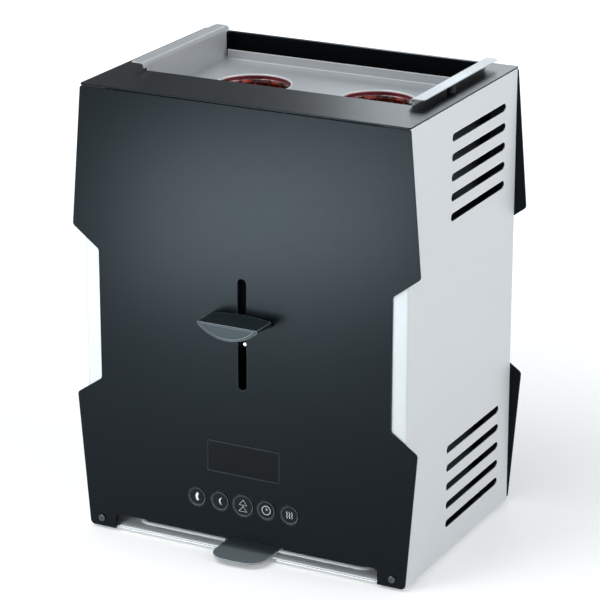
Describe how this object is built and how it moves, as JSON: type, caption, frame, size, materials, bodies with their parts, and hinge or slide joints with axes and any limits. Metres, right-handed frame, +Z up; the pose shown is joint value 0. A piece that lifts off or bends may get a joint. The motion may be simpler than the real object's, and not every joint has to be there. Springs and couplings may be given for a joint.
{
  "type": "hot dog toaster",
  "caption": "Upright toaster that heats standing sausages in wire cages under a lift-out steel top, with a front lever, display, push buttons and a pull-out drip tray.",
  "frame": {"origin": "on the table under the middle of the whole object, lever and cord grommet included", "axes": "+Z up, -Y out of the front panel, +X to the right as seen from the front"},
  "size_m": [0.2796, 0.213, 0.352],
  "materials": {
    "panel_paint": "satin anthracite powder coat",
    "side_steel": "fine brushed stainless steel",
    "insert_steel": "bright rolled stainless steel",
    "tray_steel": "bright tinned steel",
    "tongue_paint": "satin grey coat",
    "lever_paint": "satin dark grey coat",
    "inner_steel": "zinc-plated steel",
    "rubber": "matt black rubber",
    "mica": "pressed mica sheet",
    "heater_ribbon": "resistance ribbon, darkened by heat",
    "button_plastic": "black, slightly glossy",
    "board": "green circuit board",
    "dark_plastic": "black moulding",
    "window": "smoked clear plastic, dark when off",
    "copper_winding": "enamelled copper wire",
    "brass": "sintered bronze",
    "screw_steel": "nickel-plated"
  },
  "bodies": {
    "housing": {"base_plate": "inner_steel", "rubber_feet": "rubber", "left_side_panel": "side_steel", "right_side_panel": "side_steel", "front_panel": "panel_paint", "rear_panel": "panel_paint", "top_plate": "panel_paint", "opening_frame": "panel_paint", "handle_bumpers": "rubber", "chamber_wrap": "inner_steel", "chamber_front": "inner_steel", "upper_rod_bracket": "inner_steel", "lower_rod_bracket": "inner_steel", "spring_anchor": "inner_steel", "guide_rods": "inner_steel", "lift_spring": "inner_steel", "magnet_coil": "copper_winding", "magnet_core": "inner_steel", "control_board": "board", "board_components": "dark_plastic", "tact_switches": "dark_plastic", "display_module": "dark_plastic", "display_window": "window", "button_guide": "dark_plastic", "board_screws": "screw_steel", "front_panel_screws": "screw_steel", "rear_panel_screws": "screw_steel", "cord_gland": "rubber", "terminal_block": "dark_plastic", "tray_guides": "inner_steel", "left_heater_card": "mica", "centre_heater_card": "mica", "right_heater_card": "mica", "left_heater_winding": "heater_ribbon", "centre_heater_winding": "heater_ribbon", "right_heater_winding": "heater_ribbon"},
    "lift": {"lever_knob": "lever_paint", "lever_stem": "inner_steel", "stem_rivet": "screw_steel", "lever_screw": "screw_steel", "lift_carriage": "inner_steel", "carriage_bushes": "brass", "armature_plate": "inner_steel", "left_lift_arm": "inner_steel", "right_lift_arm": "inner_steel", "left_sausage_rest": "inner_steel", "right_sausage_rest": "inner_steel"},
    "insert": {"insert_tray": "insert_steel", "well_collars": "insert_steel", "left_cage_rings": "inner_steel", "right_cage_rings": "inner_steel", "left_cage_wires": "inner_steel", "right_cage_wires": "inner_steel"},
    "tray": {"drip_tray": "tray_steel", "tray_tongue": "tongue_paint"},
    "thick_sausage_button_cap": {"thick_sausage_button": "button_plastic"},
    "thin_sausage_button_cap": {"thin_sausage_button": "button_plastic"},
    "start_button_cap": {"start_button": "button_plastic"},
    "timer_button_cap": {"timer_button": "button_plastic"},
    "defrost_button_cap": {"defrost_button": "button_plastic"}
  },
  "joints": [
    {"name": "lever_slide", "type": "slide", "parent": "housing", "child": "lift", "axis": [0, 0, 1], "range_m": [-0.0485, 0.027], "stiffness_N_per_m": 90, "springref_m": 0.0227, "deforming": ["lift_spring"]},
    {"name": "insert_lift_out", "type": "slide", "parent": "housing", "child": "insert", "axis": [0, 0, 1], "range_m": [0, 0.24]},
    {"name": "drip_tray_slide", "type": "slide", "parent": "housing", "child": "tray", "axis": [0, -1, 0], "range_m": [0, 0.16]},
    {"name": "thick_sausage_button_press", "type": "slide", "parent": "housing", "child": "thick_sausage_button_cap", "axis": [0, 1, 0], "range_m": [0, 0.001], "stiffness_N_per_m": 400},
    {"name": "thin_sausage_button_press", "type": "slide", "parent": "housing", "child": "thin_sausage_button_cap", "axis": [0, 1, 0], "range_m": [0, 0.001], "stiffness_N_per_m": 400},
    {"name": "start_button_press", "type": "slide", "parent": "housing", "child": "start_button_cap", "axis": [0, 1, 0], "range_m": [0, 0.001], "stiffness_N_per_m": 400},
    {"name": "timer_button_press", "type": "slide", "parent": "housing", "child": "timer_button_cap", "axis": [0, 1, 0], "range_m": [0, 0.001], "stiffness_N_per_m": 400},
    {"name": "defrost_button_press", "type": "slide", "parent": "housing", "child": "defrost_button_cap", "axis": [0, 1, 0], "range_m": [0, 0.001], "stiffness_N_per_m": 400}
  ]
}
